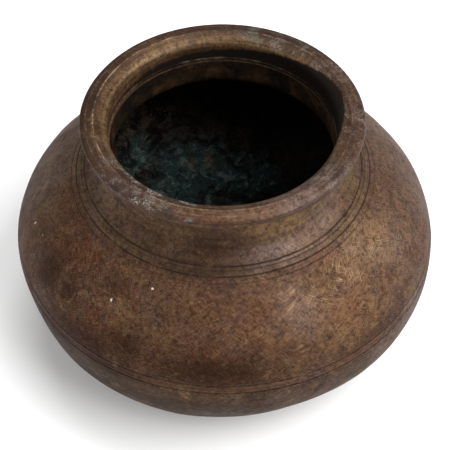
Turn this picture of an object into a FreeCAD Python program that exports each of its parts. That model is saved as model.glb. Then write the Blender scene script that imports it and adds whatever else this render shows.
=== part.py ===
"""Necked brass pot with a wide rounded body, a flared neck and a heavy turned lip.

Frame: millimetres, +Z up along the pot's axis, origin at the centre of the flat foot.
The pot is four castings, joined by half-lap seams that are closed with braze:
rim_ring on neck_collar on belly_shell on base_bowl.
All seven pieces are cut from one round wall, so that they meet face to face.
"""
import FreeCAD
import Part

import math
import os

# ---- overall sizes ----
belly_diameter = 240.0          # widest outside diameter of the body
total_height = 153.0            # foot to the crest of the lip
mouth_diameter = 123.0          # clear bore through the lip

# ---- body ----
foot_diameter = 60.0            # flat that the pot stands on
girth_height = 62.4             # height of the widest place
neck_height = 37.0              # crest of the lip down to the foot of the neck
body_wall = 3.0                 # wall of the shoulder and of the bowl
foot_wall = 3.4                 # thickness at the flat foot
shoulder_slope = 37.0           # degrees below level where the shoulder leaves the neck
shoulder_top_fullness = 0.43    # handle lengths of the curves, as shares of their chords
shoulder_low_fullness = 0.36
bowl_top_fullness = 0.48
bowl_low_fullness = 0.25

# ---- neck ----
collar_ledge = 0.5              # how far the collar stands in from the lip's bore
collar_wall = 5.0               # at the throat
collar_foot_spread = 20.0       # collar's bore to the outer edge of its foot, across
line_band_width = 5.4           # sloping band at the foot that carries the turned lines
line_band_slope = 29.0          # degrees below level
flare_top_fullness = 0.50       # outside flare
flare_low_fullness = 0.32
bore_flare_height = 10.0        # where the bore starts to open, above the neck's foot
bore_flare_fullness = 0.42

# ---- lip ----
lip_width = 14.5                # bore to the outermost edge, across
crest_from_edge = 7.3           # outermost edge in to the crest
shelf_width = 3.9               # nearly level top outside the crest
shelf_drop = 0.4
nose_drop = 2.4                 # crest down to the outermost place of the rounded edge
band_drop = 3.6                 # crest down to the lower edge of the band
band_undercut = 0.45            # lower edge of the band, in from the outermost place
fillet_step = 0.65              # narrow second band, set in under the first
fillet_drop = 6.3               # crest down to the lower edge of the second band
mouth_bevel_drop = 6.6          # crest down to where the bore is upright
cove_radius = 4.7               # hollow moulding under the second band

# ---- seams ----
skirt_wall = 2.0                # lip's skirt, which stands inside the collar
skirt_length = 3.1
belly_seam_above_girth = 6.1
belly_socket_wall = 1.5         # wall of the belly outside the bowl's tongue
belly_tongue_height = 4.5       # bowl's tongue, which stands inside the belly
shoulder_seat_depth = 1.5       # collar's foot, let into the shoulder
braze_height = 1.4
shoulder_braze_width = 1.5
rim_braze_leg = 2.4             # bevel of braze in the corner under the lip

# ---- turned lines: half widths, and places along the wall ----
deep_line = 0.5
fine_line = 0.32
second_line_share = 0.40        # along the sloping band
shoulder_line_offset = 2.9      # fourth line, out on the shoulder, level distance
belly_line_rises = (2.0, 4.9, 6.8)   # above the belly seam
belly_line_halves = (0.32, 0.5, 0.26)

# ---- places worked out from the sizes ----
mouth_radius = mouth_diameter / 2
bore_radius = mouth_radius - collar_ledge
throat_radius = bore_radius + collar_wall
foot_of_neck = total_height - neck_height
collar_foot_radius = bore_radius + collar_foot_spread
belly_radius = belly_diameter / 2
foot_radius = foot_diameter / 2
lip_radius = mouth_radius + lip_width
crest_radius = lip_radius - crest_from_edge
fillet_radius = lip_radius - band_undercut - fillet_step
rim_seam_height = total_height - fillet_drop - cove_radius
skirt_radius = mouth_radius + skirt_wall
skirt_foot = rim_seam_height - skirt_length
belly_seam_height = girth_height + belly_seam_above_girth
tongue_top = belly_seam_height + belly_tongue_height
seat_height = foot_of_neck - shoulder_seat_depth
line_band_rise = line_band_width * math.sin(math.radians(line_band_slope))
line_band_run = line_band_width * math.cos(math.radians(line_band_slope))
line_band_top = (collar_foot_radius - line_band_run, foot_of_neck + line_band_rise)

AXIS_START = FreeCAD.Vector(0, 0, 0)
AXIS = FreeCAD.Vector(0, 0, 1)
OUTSIDE = 2 * max(belly_radius, total_height)   # further out than any piece


def at(radius, height):
    """Point of the half section."""
    return FreeCAD.Vector(radius, 0, height)


def line(start, end):
    return Part.makeLine(at(*start), at(*end))


def bezier(poles):
    curve = Part.BezierCurve()
    curve.setPoles([at(*pole) for pole in poles])
    return curve.toShape()


def heading(degrees):
    """Direction (outward, upward) at an angle below level, going outward."""
    return math.cos(math.radians(degrees)), -math.sin(math.radians(degrees))


def moved(point, direction, distance):
    return point[0] + direction[0] * distance, point[1] + direction[1] * distance


def smooth(start, leave, leave_share, end, arrive, arrive_share):
    """Poles of a curve from start to end that leaves and arrives along the given directions."""
    chord = math.dist(start, end)
    return [start, moved(start, leave, leave_share * chord), moved(end, arrive, -arrive_share * chord), end]


def place_at(poles, axis, value):
    """Point of a curve whose radius (axis 0) or height (axis 1) has the given value."""
    def point(share):
        rest = 1 - share
        weights = (rest ** 3, 3 * rest ** 2 * share, 3 * rest * share ** 2, share ** 3)
        return tuple(sum(w * pole[k] for w, pole in zip(weights, poles)) for k in (0, 1))
    low, high = 0.0, 1.0
    rising = point(1.0)[axis] > point(0.0)[axis]
    for _ in range(60):
        middle = (low + high) / 2
        if (point(middle)[axis] < value) == rising:
            low = middle
        else:
            high = middle
    return point(low)


def turned(edges):
    """Solid of revolution of a closed half section."""
    face = Part.Face(Part.Wire(Part.__sortEdges__(edges)))
    solid = face.revolve(AXIS_START, AXIS, 360)
    if solid.Volume < 0:
        solid.reverse()
    return solid


def turned_outline(points):
    closed = list(points) + [points[0]]
    return turned([line(a, b) for a, b in zip(closed, closed[1:])])


def ring_zone(inner, outer, low, high):
    """Square-cornered ring, or a disc where inner is 0."""
    return turned_outline([(inner, low), (outer, low), (outer, high), (inner, high)])


def above_step(step_radius, inner_height, outer_height):
    """Everything above a stepped joint: inner_height within step_radius, outer_height beyond it."""
    top = total_height + OUTSIDE
    return turned_outline([(0, inner_height), (step_radius, inner_height), (step_radius, outer_height),
                           (OUTSIDE, outer_height), (OUTSIDE, top), (0, top)])


def shoulder_poles(depth):
    """Shoulder curve, depth inside the outer face."""
    out, down = heading(shoulder_slope)
    start = moved((collar_foot_radius, foot_of_neck), (down, -out), depth)
    end = (belly_radius - depth, girth_height)
    return smooth(start, (out, down), shoulder_top_fullness, end, (0, -1), shoulder_low_fullness)


def bowl_poles(depth, foot_height):
    start = (belly_radius - depth, girth_height)
    end = (foot_radius, foot_height)
    return smooth(start, (0, -1), bowl_top_fullness, end, (-1, 0), bowl_low_fullness)


def core(depth):
    """Everything inside a surface that follows the body's outer face at the given depth."""
    shoulder = shoulder_poles(depth)
    bowl = bowl_poles(depth, depth)
    return turned([bezier(shoulder), bezier(bowl), line(bowl[-1], (0, depth)),
                   line((0, depth), (0, shoulder[0][1])), line((0, shoulder[0][1]), shoulder[0])])


def lip_edges():
    """Outline of the lip from the seam under its cove, over the crest and down to the collar."""
    cove_foot = (fillet_radius - cove_radius, rim_seam_height)
    cove_top = (fillet_radius, total_height - fillet_drop)
    cove_middle = moved((fillet_radius, rim_seam_height), (-math.sqrt(0.5), math.sqrt(0.5)), cove_radius)
    band_low = (lip_radius - band_undercut, total_height - band_drop)
    fillet_top = (fillet_radius, total_height - band_drop)
    nose = (lip_radius, total_height - nose_drop)
    shelf_end = (crest_radius + shelf_width, total_height - shelf_drop)
    crest = (crest_radius, total_height)
    bevel_end = (mouth_radius, total_height - mouth_bevel_drop)
    skirt_end = (mouth_radius, skirt_foot)
    rounded = smooth(shelf_end, heading(5), 0.55, nose, (0, -1), 0.35)
    bevel = smooth(crest, heading(180 - 28), 0.45, bevel_end, (0, -1), 0.40)
    return [
        Part.Arc(at(*cove_foot), at(*cove_middle), at(*cove_top)).toShape(),
        line(cove_top, fillet_top),
        line(fillet_top, band_low),
        line(band_low, nose),
        bezier(rounded),
        line(shelf_end, crest),
        bezier(bevel),
        line(bevel_end, skirt_end),
        line(skirt_end, (bore_radius, skirt_foot)),
    ]


def wall_edges():
    """Outline of the whole wall, from the foot up the outside and down the inside."""
    shoulder = shoulder_poles(0)
    shoulder_inside = shoulder_poles(body_wall)
    bowl = bowl_poles(0, 0)
    bowl_inside = bowl_poles(body_wall, foot_wall)
    braze_foot = (throat_radius, rim_seam_height - rim_braze_leg)
    braze_edge = (throat_radius + rim_braze_leg, rim_seam_height)
    cove_foot = (fillet_radius - cove_radius, rim_seam_height)
    flare = smooth(braze_foot, (0, -1), flare_top_fullness, line_band_top, heading(line_band_slope),
                   flare_low_fullness)
    bore_end = (bore_radius, foot_of_neck + bore_flare_height)
    bore_flare = smooth(bore_end, (0, -1), bore_flare_fullness, shoulder_inside[0],
                        heading(shoulder_slope), bore_flare_fullness)
    return [
        line((0, 0), bowl[-1]),
        bezier(bowl),
        bezier(shoulder),
        line(shoulder[0], line_band_top),
        bezier(flare),
        line(braze_foot, braze_edge),
        line(braze_edge, cove_foot),
        *lip_edges(),
        line((bore_radius, skirt_foot), bore_end),
        bezier(bore_flare),
        bezier(shoulder_inside),
        bezier(bowl_inside),
        line(bowl_inside[-1], (0, foot_wall)),
        line((0, foot_wall), (0, 0)),
    ]


def turned_lines():
    """Cutters for the lines turned into the outside, two of which mark the seams."""
    foot = (collar_foot_radius, foot_of_neck)
    band_in = heading(line_band_slope)
    second = moved(line_band_top, band_in, second_line_share * line_band_width)
    shoulder = shoulder_poles(0)
    fourth = place_at(shoulder, 0, collar_foot_radius + shoulder_line_offset)
    cuts = [(line_band_top, deep_line), (second, fine_line), (foot, deep_line), (fourth, fine_line)]
    seam = place_at(shoulder, 1, belly_seam_height)
    cuts.append((seam, deep_line))
    for rise, half in zip(belly_line_rises, belly_line_halves):
        cuts.append((place_at(shoulder, 1, belly_seam_height + rise), half))
    return [Part.makeTorus(radius, half, at(0, height), AXIS) for (radius, height), half in cuts]


def build():
    wall = turned(wall_edges())
    above_rim_seam = above_step(skirt_radius, skirt_foot, rim_seam_height)
    above_neck_seat = ring_zone(0, collar_foot_radius, seat_height, total_height + OUTSIDE)
    inside_socket = core(belly_socket_wall)
    tongue_zone = inside_socket.common(ring_zone(0, OUTSIDE, 0, tongue_top))
    above_belly_seam = ring_zone(0, OUTSIDE, belly_seam_height, total_height + OUTSIDE).cut(tongue_zone)

    rim_braze_zone = ring_zone(throat_radius, OUTSIDE, rim_seam_height - rim_braze_leg, rim_seam_height)
    seat_inner = place_at(shoulder_poles(body_wall), 1, seat_height)[0]
    shoulder_braze_zone = ring_zone(0, seat_inner + shoulder_braze_width, seat_height - braze_height,
                                    seat_height)
    belly_braze_zone = inside_socket.common(ring_zone(0, OUTSIDE, tongue_top, tongue_top + braze_height))
    lines = turned_lines()

    rim_ring = wall.common(above_rim_seam)
    below_rim = wall.cut(above_rim_seam)
    rim_seam_braze = below_rim.common(rim_braze_zone)
    below_rim = below_rim.cut(rim_braze_zone)
    neck_collar = below_rim.common(above_neck_seat).cut(lines)
    body = below_rim.cut(above_neck_seat)
    shoulder_seam_braze = body.common(shoulder_braze_zone)
    body = body.cut(shoulder_braze_zone)
    belly = body.common(above_belly_seam)
    belly_seam_braze = belly.common(belly_braze_zone)
    belly_shell = belly.cut(belly_braze_zone).cut(lines)
    base_bowl = body.cut(above_belly_seam).cut(lines)
    return {
        "rim_ring": rim_ring,
        "neck_collar": neck_collar,
        "belly_shell": belly_shell,
        "base_bowl": base_bowl,
        "rim_seam_braze": rim_seam_braze,
        "shoulder_seam_braze": shoulder_seam_braze,
        "belly_seam_braze": belly_seam_braze,
    }


os.makedirs("parts", exist_ok=True)
for name, shape in build().items():
    solids = shape.Solids
    if len(solids) != 1:
        raise ValueError(f"{name} came out as {len(solids)} solids")
    solid = solids[0]
    solid.exportStep(f"parts/{name}.step")
    box = solid.optimalBoundingBox()
    print(f"{name}: valid {solid.isValid()}, {solid.Volume / 1000:.2f} cm3, "
          f"z {box.ZMin:.2f} to {box.ZMax:.2f}, radius {box.XMax:.2f}")
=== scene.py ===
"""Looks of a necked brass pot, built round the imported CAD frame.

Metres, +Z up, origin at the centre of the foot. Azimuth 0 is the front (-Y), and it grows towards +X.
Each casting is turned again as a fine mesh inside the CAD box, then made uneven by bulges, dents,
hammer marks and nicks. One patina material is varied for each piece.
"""

import math

import bpy
import numpy as np
from mathutils import Matrix, Vector


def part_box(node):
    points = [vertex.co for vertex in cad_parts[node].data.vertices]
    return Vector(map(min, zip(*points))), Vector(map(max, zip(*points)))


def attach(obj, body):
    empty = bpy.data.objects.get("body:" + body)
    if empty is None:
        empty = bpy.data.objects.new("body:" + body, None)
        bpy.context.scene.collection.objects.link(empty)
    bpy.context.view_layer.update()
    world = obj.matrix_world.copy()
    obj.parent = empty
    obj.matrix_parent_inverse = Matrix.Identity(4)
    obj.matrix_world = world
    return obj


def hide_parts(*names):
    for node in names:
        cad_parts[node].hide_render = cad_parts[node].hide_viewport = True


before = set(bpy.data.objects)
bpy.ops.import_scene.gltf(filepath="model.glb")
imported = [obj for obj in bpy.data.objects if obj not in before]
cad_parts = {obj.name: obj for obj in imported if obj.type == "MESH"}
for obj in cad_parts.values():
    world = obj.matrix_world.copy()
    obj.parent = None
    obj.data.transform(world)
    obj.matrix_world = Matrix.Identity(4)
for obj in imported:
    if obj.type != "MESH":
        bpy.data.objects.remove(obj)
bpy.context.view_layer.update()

MM = 0.001

# ---- sizes read from the frame ----
rim_low, rim_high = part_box("rim_ring")
collar_low, collar_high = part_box("neck_collar")
belly_low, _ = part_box("belly_shell")
_, bowl_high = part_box("base_bowl")
CREST = rim_high.z
LIP_RADIUS = rim_high.x
SKIRT_FOOT = rim_low.z
RIM_SEAM = collar_high.z
SEAT = collar_low.z
COLLAR_FOOT_RADIUS = collar_high.x
BELLY_RADIUS = bowl_high.x
BELLY_SEAM = belly_low.z
TONGUE_TOP = bowl_high.z

# ---- sizes that the frame's boxes don't give ----
SEAT_DEPTH = 1.5 * MM
NECK_FOOT = SEAT + SEAT_DEPTH
GIRTH = 62.4 * MM
FOOT_RADIUS = 30 * MM
WALL = 3 * MM
FOOT_WALL = 3.4 * MM
SOCKET_WALL = 1.5 * MM
BRAZE_HEIGHT = 1.4 * MM
SHOULDER_BRAZE_WIDTH = 1.5 * MM
RIM_BRAZE_LEG = 2.4 * MM
MOUTH_RADIUS = 61.5 * MM
BORE_RADIUS = 61 * MM
THROAT_RADIUS = 66 * MM
SKIRT_RADIUS = 63.5 * MM
LINE_BAND_WIDTH = 5.4 * MM
LINE_BAND_SLOPE = 29
SHOULDER_SLOPE = 37
BORE_FLARE_HEIGHT = 10 * MM
CREST_FROM_EDGE = 7.3 * MM
SHELF_WIDTH = 3.9 * MM
SHELF_DROP = 0.4 * MM
NOSE_DROP = 2.4 * MM
BAND_DROP = 3.6 * MM
BAND_UNDERCUT = 0.45 * MM
FILLET_STEP = 0.65 * MM
FILLET_DROP = 6.3 * MM
BEVEL_DROP = 6.6 * MM
COVE_RADIUS = 4.7 * MM

RIDGE_SHARE = 0.10       # height of the burr beside a turned line, as a share of its depth
DEEP_LINE = 0.34 * MM    # a line this deep is filled with grime
NICK_DEPTH = 0.9 * MM
NICK_REACH = 0.8 * MM    # how far from an edge of the lip nicks reach
RUB_REACH = 0.45 * MM    # how far from an edge of the lip it is rubbed bright
SHADED_SIDE = 105         # degrees: where the bore's wall is turned from the key lamp and the painted shade climbs highest on the lip's slope
LIT_SIDE = -95         # degrees: where the bore's wall faces the key lamp and there is least painted shade
SHADE_SPREAD = 48        # degrees: how far round each of them reaches
SHADE_SHARE = 0.9        # painted shade at its darkest
LIT_SHARE = 0.7        # how much of it is missing at the lit side
SHADE_TOP = 5.5 * MM      # where the painted shade starts, below the crest
SHADE_CLIMB = 5 * MM      # how much higher it starts at the shaded side
SHADE_FADE = 7 * MM       # height over which it darkens
SHADE_CRISP = 5.5 * MM    # how much less that is at the shaded side
SHADE_OUT = 6 * MM        # how far out on the slope it spreads at the shaded side
OVAL = 0.30 * MM         # how far the pot is out of round
OVAL_SIDE = 25           # degrees: where it is widest
COARSE_HAMMER = 0.26 * MM
FINE_HAMMER = 0.12 * MM

AXIS_GAP = 1.5 * MM      # the bowl's mesh closes on the axis with one fan of triangles inside this radius
ROUND_RADIUS = 100 * MM  # distances round the pot are measured at this radius
MAP_EDGE = 0.01          # empty edge of each strip of the flat map, as a share of its width
TURNS_LIP = 720          # facets round the lip and neck
TURNS_BODY = 640         # facets round the body
BACK_FADE = 3            # degrees: strokes fade out this near the back, where the map is cut
SHARP_ANGLE = 50         # degrees: edges that turn by more than this stay crisp
FINE_STEP = 0.2 * MM
EDGE_STEP = 0.4 * MM
OPEN_STEP = 1.3 * MM
HIDDEN_STEP = 2.4 * MM

OUTSIDE, INSIDE, JOINT = 1, -1, 0


# ---------------------------------------------------------------- outlines
def heading(degrees):
    return np.array([math.cos(math.radians(degrees)), -math.sin(math.radians(degrees))])


def smooth(start, leave, leave_share, end, arrive, arrive_share):
    """Poles of a curve from start to end that leaves and arrives along the given directions."""
    start, end = np.array(start, float), np.array(end, float)
    chord = np.linalg.norm(end - start)
    after_start = start + np.array(leave) * leave_share * chord
    before_end = end - np.array(arrive) * arrive_share * chord
    return [start, after_start, before_end, end]


def bezier(poles, count=400):
    t = np.linspace(0, 1, count)[:, None]
    a, b, c, d = [np.array(p, float) for p in poles]
    return (1 - t) ** 3 * a + 3 * (1 - t) ** 2 * t * b + 3 * (1 - t) * t ** 2 * c + t ** 3 * d


def straight(start, end, count=60):
    t = np.linspace(0, 1, count)[:, None]
    return (1 - t) * np.array(start, float) + t * np.array(end, float)


def arc(centre, radius, first, last, count=60):
    t = np.radians(np.linspace(first, last, count))
    return np.array(centre) + radius * np.stack([np.cos(t), np.sin(t)], 1)


def between(points, axis, low, high):
    """The part of a curve with a radius (axis 0) or height (axis 1) from low to high, ends included."""
    keep = (points[:, axis] > low) & (points[:, axis] < high)
    inner = points[keep]
    rising = points[np.argsort(points[:, axis])]
    ends = [np.array([np.interp(v, rising[:, axis], rising[:, k]) for k in (0, 1)]) for v in (low, high)]
    if points[0, axis] > points[-1, axis]:
        ends.reverse()
    return np.vstack([ends[0], inner, ends[1]])


def shoulder_curve(depth):
    """From the neck's foot down to the girth, depth inside the outer face."""
    down = heading(SHOULDER_SLOPE)
    inward = np.array([down[1], -down[0]])
    start = np.array([COLLAR_FOOT_RADIUS, NECK_FOOT]) + inward * depth
    return bezier(smooth(start, down, 0.43, (BELLY_RADIUS - depth, GIRTH), (0, -1), 0.36))


def bowl_curve(depth, foot_height):
    """From the girth down to the edge of the flat foot."""
    girth = (BELLY_RADIUS - depth, GIRTH)
    return bezier(smooth(girth, (0, -1), 0.48, (FOOT_RADIUS, foot_height), (-1, 0), 0.25))


SHOULDER_OUT = shoulder_curve(0)
SHOULDER_IN = shoulder_curve(WALL)
SOCKET = shoulder_curve(SOCKET_WALL)
BRAZE_TOP = TONGUE_TOP + BRAZE_HEIGHT
BAND_TOP = np.array([COLLAR_FOOT_RADIUS, NECK_FOOT]) - heading(LINE_BAND_SLOPE) * LINE_BAND_WIDTH
FLARE = bezier(smooth((THROAT_RADIUS, RIM_SEAM - RIM_BRAZE_LEG), (0, -1), 0.5, BAND_TOP,
                      heading(LINE_BAND_SLOPE), 0.32))
BORE_FLARE = bezier(smooth((BORE_RADIUS, NECK_FOOT + BORE_FLARE_HEIGHT), (0, -1), 0.42, SHOULDER_IN[0],
                           heading(SHOULDER_SLOPE), 0.42))
SEAT_INNER = between(SHOULDER_IN, 1, SEAT, NECK_FOOT)[-1][0]
SHOULDER_BRAZE_RADIUS = SEAT_INNER + SHOULDER_BRAZE_WIDTH
SHOULDER_BRAZE_LOW = between(SHOULDER_IN, 0, SEAT_INNER, SHOULDER_BRAZE_RADIUS)[-1][1]


def on_body(height):
    return between(SHOULDER_OUT, 1, height, NECK_FOOT)[-1]


def along_band(share):
    return BAND_TOP + heading(LINE_BAND_SLOPE) * LINE_BAND_WIDTH * share


# Turned lines: place, half width and depth.
LINES = [
    (along_band(0.0), 0.36 * MM, 0.34 * MM),
    (along_band(0.40), 0.28 * MM, 0.20 * MM),
    (along_band(1.0), 0.38 * MM, 0.36 * MM),
    (between(SHOULDER_OUT, 0, COLLAR_FOOT_RADIUS, COLLAR_FOOT_RADIUS + 2.9 * MM)[-1], 0.28 * MM, 0.20 * MM),
    (on_body(BELLY_SEAM), 0.36 * MM, 0.30 * MM),
    (on_body(BELLY_SEAM + 2.0 * MM), 0.25 * MM, 0.14 * MM),
    (on_body(BELLY_SEAM + 4.9 * MM), 0.36 * MM, 0.32 * MM),
    (on_body(BELLY_SEAM + 6.8 * MM), 0.25 * MM, 0.10 * MM),
]
# Edges of the lip: place, and how brightly it is rubbed.
LIP_EDGES = [
    ((LIP_RADIUS - CREST_FROM_EDGE, CREST), 1.0),
    ((LIP_RADIUS - CREST_FROM_EDGE + SHELF_WIDTH, CREST - SHELF_DROP), 0.35),
    ((LIP_RADIUS - BAND_UNDERCUT, CREST - BAND_DROP), 0.4),
    ((LIP_RADIUS - BAND_UNDERCUT - FILLET_STEP, CREST - FILLET_DROP), 0.35),
    ((MOUTH_RADIUS, SKIRT_FOOT), 0.7),
]


def nearest(points, places):
    return min(np.linalg.norm(points - np.array(p), axis=-1) for p in places)


def thinned(points, side):
    """Fewer points: fine near the turned lines and the lip's edges, wider elsewhere."""
    kept, last = [points[0]], points[0]
    for p in points[1:-1]:
        step = HIDDEN_STEP
        if side == OUTSIDE:
            step = OPEN_STEP
            if nearest(p, [place for place, _, _ in LINES]) < 1.5 * MM:
                step = FINE_STEP
            if nearest(p, [place for place, _ in LIP_EDGES]) < 1.6 * MM:
                step = EDGE_STEP
            if p[1] > RIM_SEAM - 1 * MM:
                step = min(step, 0.7 * MM)
        if np.linalg.norm(p - last) >= step:
            kept.append(p)
            last = p
    kept.append(points[-1])
    return np.array(kept)


def resampled(points, spacing=0.1 * MM):
    steps = np.concatenate([[0], np.cumsum(np.linalg.norm(np.diff(points, axis=0), axis=1))])
    count = max(3, int(steps[-1] / spacing))
    at = np.linspace(0, steps[-1], count)
    return np.stack([np.interp(at, steps, points[:, k]) for k in (0, 1)], 1)


def outline(*stretches):
    """One half section from stretches of (points, side): its points, normals, sides and lengths along it."""
    places, normals, sides = [], [], []
    for points, side in stretches:
        points = thinned(resampled(points), side)
        slope = np.gradient(points, axis=0)
        normal = np.stack([slope[:, 1], -slope[:, 0]], 1)
        normal /= np.maximum(np.linalg.norm(normal, axis=1), 1e-12)[:, None]
        if places and np.linalg.norm(places[-1] - points[0]) < 1e-7:
            if abs(side) > abs(sides[-1]):
                normals[-1], sides[-1] = normal[0], side
            points, normal = points[1:], normal[1:]
        places += list(points)
        normals += list(normal)
        sides += [side] * len(points)
    if np.linalg.norm(places[0] - places[-1]) < 1e-7:
        places, normals, sides = places[:-1], normals[:-1], sides[:-1]
    places, normals, sides = np.array(places), np.array(normals), np.array(sides, float)
    along = np.concatenate([[0], np.cumsum(np.linalg.norm(np.diff(places, axis=0), axis=1))])
    return places, normals, sides, along


# ---------------------------------------------------------------- unevenness
def lattice_noise(points, size, seed):
    """Smooth noise from -1 to 1 that repeats only every 32 cells."""
    cells = np.random.RandomState(seed).rand(32, 32, 32) * 2 - 1
    p = points / size + 1000
    whole = np.floor(p).astype(int)
    part = p - whole
    part = part * part * (3 - 2 * part)
    total = np.zeros(len(points))
    for dx in (0, 1):
        for dy in (0, 1):
            for dz in (0, 1):
                weight = (np.where(dx, part[:, 0], 1 - part[:, 0]) * np.where(dy, part[:, 1], 1 - part[:, 1])
                          * np.where(dz, part[:, 2], 1 - part[:, 2]))
                i, j, k = ((whole + (dx, dy, dz)) % 32).T
                total += weight * cells[i, j, k]
    return total


def octaves(points, size, seed, count=3):
    layers = [lattice_noise(points, size / 2 ** k, seed + k) / 2 ** k for k in range(count)]
    return sum(layers) / (2 - 2 ** (1 - count))


def turn_between(azimuth, centre):
    return (azimuth - math.radians(centre) + math.pi) % (2 * math.pi) - math.pi


def blob(azimuth, height, radius, centre, at_height, half_width, half_height):
    """Soft spot on the pot: centre in degrees, the rest in millimetres."""
    across = turn_between(azimuth, centre) * radius / (half_width * MM)
    up = (height - at_height * MM) / (half_height * MM)
    return np.exp(-(across ** 2 + up ** 2))


# Bulges of the body: azimuth in degrees, then height, half width, half height and outward distance in mm.
BULGES = [
    (-66, 42, 30, 24, -2.4),
    (-18, 26, 34, 22, 0.7),
    (20, 28, 28, 20, -1.4),
    (64, 44, 60, 34, 0.8),
    (150, 60, 60, 34, -0.9),
    (-150, 34, 50, 26, 0.6),
]
# Small dents: azimuth in degrees, then height, half width, half height and depth in mm.
DENTS = [
    (-42, 92, 9, 7, 0.45), (-12, 100, 7, 6, 0.35), (31, 96, 10, 6, 0.40), (58, 88, 7, 8, 0.40),
    (14, 84, 6, 5, 0.35), (-70, 84, 8, 8, 0.45), (100, 95, 9, 7, 0.40), (140, 76, 11, 8, 0.50),
    (-130, 90, 9, 8, 0.45), (-176, 98, 8, 6, 0.35), (-20, 46, 10, 8, 0.45), (60, 40, 12, 9, 0.50),
    (170, 42, 12, 9, 0.55), (-100, 36, 11, 9, 0.50), (118, 30, 12, 8, 0.45), (20, 124, 5, 4, 0.25),
    (-55, 127, 5, 4, 0.25), (150, 126, 6, 4, 0.30),
]


def uneven(points, normals, sides):
    """Moves turned points to make them uneven. Inner faces follow the outer ones, to keep the wall."""
    x, y, z = points.T
    radius = np.hypot(x, y)
    azimuth = np.arctan2(x, -y)
    out = np.stack([x, y, np.zeros_like(x)], 1) / np.maximum(radius, 1e-9)[:, None]
    body = np.clip((NECK_FOOT + 12 * MM - z) / (30 * MM), 0, 1)
    above_foot = np.clip(z / (14 * MM), 0, 1)
    push = np.zeros(len(points))
    for centre, height, width, tall, amount in BULGES:
        push += blob(azimuth, z, np.maximum(radius, 60 * MM), centre, height, width, tall) * amount * MM
    push *= body * above_foot
    push += OVAL * np.cos(2 * (azimuth - math.radians(OVAL_SIDE))) * above_foot
    moved = points + out * push[:, None]
    facing = np.where(sides == INSIDE, -1.0, 1.0)[:, None] * normals
    hammer = COARSE_HAMMER * octaves(points, 34 * MM, 5) + FINE_HAMMER * octaves(points, 12 * MM, 11, 2)
    for centre, height, width, tall, depth in DENTS:
        hammer -= blob(azimuth, z, radius, centre, height, width, tall) * depth * MM
    hammer *= (0.25 + 0.75 * body) * np.clip(z / (5 * MM), 0, 1) * (sides != JOINT)
    return moved + facing * hammer[:, None]


# ---------------------------------------------------------------- meshes
def flat_map(mesh, turns, along, fans):
    """Even flat map of a turned mesh, for baking. The turn is cut into equal strips, one above another."""
    around = 2 * math.pi * ROUND_RADIUS
    strips = 2 ** round(math.log2(max(1, math.sqrt(around / along[-1]))))
    turn_at = np.arange(turns) * strips / turns
    strip = np.floor(turn_at + 1e-9)
    left = MAP_EDGE + (1 - 2 * MAP_EDGE) * (turn_at - strip)
    right = left + (1 - 2 * MAP_EDGE) * strips / turns
    up = MAP_EDGE + (1 - 2 * MAP_EDGE) * along / along[-1]
    low, high = (strip[:, None] + up[None, :-1]) / strips, (strip[:, None] + up[None, 1:]) / strips
    left, right = np.broadcast_to(left[:, None], low.shape), np.broadcast_to(right[:, None], low.shape)
    places = np.stack([right, low, right, high, left, high, left, low], -1).reshape(-1)
    if fans:
        first, second = left[:, 0], right[:, 0]
        middle = (first + second) / 2
        start, end = low[:, 0], high[:, -1]
        bottom = np.stack([first, start, middle, start - MAP_EDGE / strips, second, start], -1)
        top = np.stack([second, end, middle, end + MAP_EDGE / strips, first, end], -1)
        places = np.concatenate([places, bottom.reshape(-1), top.reshape(-1)])
    mesh.uv_layers.new(name="OFBake").uv.foreach_set("vector", places.astype(np.float32))


def cut_lines(points, normal, side, radius):
    """Turned lines with a small burr beside each. Returns each point's shift, and the grime from 0 to 1."""
    shift = np.zeros_like(points)
    grime = np.zeros(len(points))
    worn_and_painted_light = 0.72 + 0.28 * octaves(points, 30 * MM, 40)
    for (line_radius, line_height), half, depth in LINES:
        distance = np.hypot(radius - line_radius, points[:, 2] - line_height)
        distance = distance * (side == OUTSIDE) + (side != OUTSIDE)
        groove = worn_and_painted_light * np.exp(-(distance / half) ** 2)
        burr = RIDGE_SHARE * np.exp(-((distance - 2.2 * half) / half) ** 2)
        shift += normal * (depth * (burr - groove))[:, None]
        filled = np.exp(-(distance / (1.1 * half)) ** 2)
        grime = np.maximum(grime, filled * np.clip(depth / DEEP_LINE, 0.4, 1))
    return shift, grime


def nick_edges(points, normal, side, azimuth, radius):
    """Nicks in the lip's edges. Returns each point's shift, and how bright it is rubbed, from 0 to 1."""
    shift = np.zeros_like(points)
    edge = np.zeros(len(points))
    rub = 0.3 + 0.7 * patch_strength("rub", azimuth, points[:, 2], radius)
    nicks = np.clip(octaves(points, 5 * MM, 60, 2) - 0.42, 0, 1)
    nicks += np.clip(octaves(points, 2.2 * MM, 70, 2) - 0.5, 0, 1)
    for (edge_radius, edge_height), rubbed in LIP_EDGES:
        distance = np.hypot(radius - edge_radius, points[:, 2] - edge_height)
        near = np.exp(-(distance / NICK_REACH) ** 2) * (side == OUTSIDE)
        shift -= normal * (near * nicks * NICK_DEPTH)[:, None]
        bright = np.exp(-(distance / RUB_REACH) ** 2) * (side == OUTSIDE)
        edge = np.maximum(edge, rub * rubbed * bright)
    return shift, edge


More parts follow.
